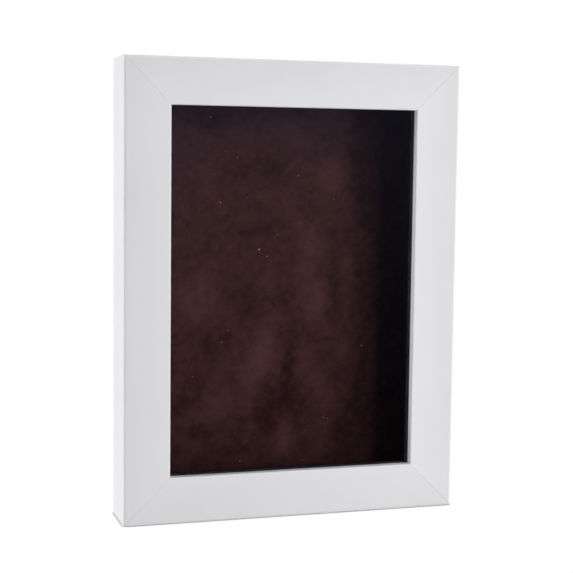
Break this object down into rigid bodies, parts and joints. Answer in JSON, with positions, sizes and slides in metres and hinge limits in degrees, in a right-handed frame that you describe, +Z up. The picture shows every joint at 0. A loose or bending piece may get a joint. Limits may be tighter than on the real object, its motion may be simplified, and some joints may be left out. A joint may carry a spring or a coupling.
{
  "type": "shadow box",
  "caption": "Small rear-loading shadow box: white mitred moulding, glass front, dark lined display cavity with a brown suede back, and turn buttons holding the backing board.",
  "frame": {"origin": "middle of the flat outer face of the bottom rail, which the frame stands on", "axes": "+Z up along the frame's height, +X to the right as seen from the front, +Y from the glass towards the wall, so the display faces -Y"},
  "size_m": [0.16, 0.0305, 0.211],
  "materials": {
    "white_moulding": "satin",
    "clear_glass": "polished",
    "black_card": "matte",
    "brown_suede": "matte",
    "hardboard": "matte",
    "zinc_steel": "satin",
    "brass_nail": "satin",
    "grey_rubber": "matte"
  },
  "bodies": {
    "case": {"left_rail": "white_moulding", "right_rail": "white_moulding", "top_rail": "white_moulding", "bottom_rail": "white_moulding", "corner_v_nails": "zinc_steel", "glass_pane": "clear_glass", "left_spacer": "black_card", "right_spacer": "black_card", "top_spacer": "black_card", "bottom_spacer": "black_card", "pivot_screws": "zinc_steel", "top_hanger": "zinc_steel", "side_hanger": "zinc_steel", "hanger_nails": "brass_nail", "wall_bumpers": "grey_rubber"},
    "back_panel": {"suede_lining": "brown_suede", "backing_board": "hardboard"},
    "button_left_upper": {"turn_button_left_upper": "zinc_steel"},
    "button_left_lower": {"turn_button_left_lower": "zinc_steel"},
    "button_right_upper": {"turn_button_right_upper": "zinc_steel"},
    "button_right_lower": {"turn_button_right_lower": "zinc_steel"},
    "button_top_left": {"turn_button_top_left": "zinc_steel"},
    "button_top_right": {"turn_button_top_right": "zinc_steel"},
    "button_bottom_left": {"turn_button_bottom_left": "zinc_steel"},
    "button_bottom_right": {"turn_button_bottom_right": "zinc_steel"}
  },
  "joints": [
    {"name": "back_panel_slide", "type": "slide", "parent": "case", "child": "back_panel", "axis": [0, 1, 0], "range_m": [0, 0.08]},
    {"name": "button_left_upper_turn", "type": "hinge", "parent": "case", "child": "button_left_upper", "pos_m": [-0.0721, 0.0142, 0.1575], "axis": [0, 1, 0], "continuous": true},
    {"name": "button_left_lower_turn", "type": "hinge", "parent": "case", "child": "button_left_lower", "pos_m": [-0.0721, 0.0142, 0.0535], "axis": [0, -1, 0], "continuous": true},
    {"name": "button_right_upper_turn", "type": "hinge", "parent": "case", "child": "button_right_upper", "pos_m": [0.0721, 0.0142, 0.1575], "axis": [0, -1, 0], "continuous": true},
    {"name": "button_right_lower_turn", "type": "hinge", "parent": "case", "child": "button_right_lower", "pos_m": [0.0721, 0.0142, 0.0535], "axis": [0, 1, 0], "continuous": true},
    {"name": "button_top_left_turn", "type": "hinge", "parent": "case", "child": "button_top_left", "pos_m": [-0.041, 0.0142, 0.2031], "axis": [0, -1, 0], "continuous": true},
    {"name": "button_top_right_turn", "type": "hinge", "parent": "case", "child": "button_top_right", "pos_m": [0.041, 0.0142, 0.2031], "axis": [0, 1, 0], "continuous": true},
    {"name": "button_bottom_left_turn", "type": "hinge", "parent": "case", "child": "button_bottom_left", "pos_m": [-0.041, 0.0142, 0.0079], "axis": [0, 1, 0], "continuous": true},
    {"name": "button_bottom_right_turn", "type": "hinge", "parent": "case", "child": "button_bottom_right", "pos_m": [0.041, 0.0142, 0.0079], "axis": [0, -1, 0], "continuous": true}
  ]
}
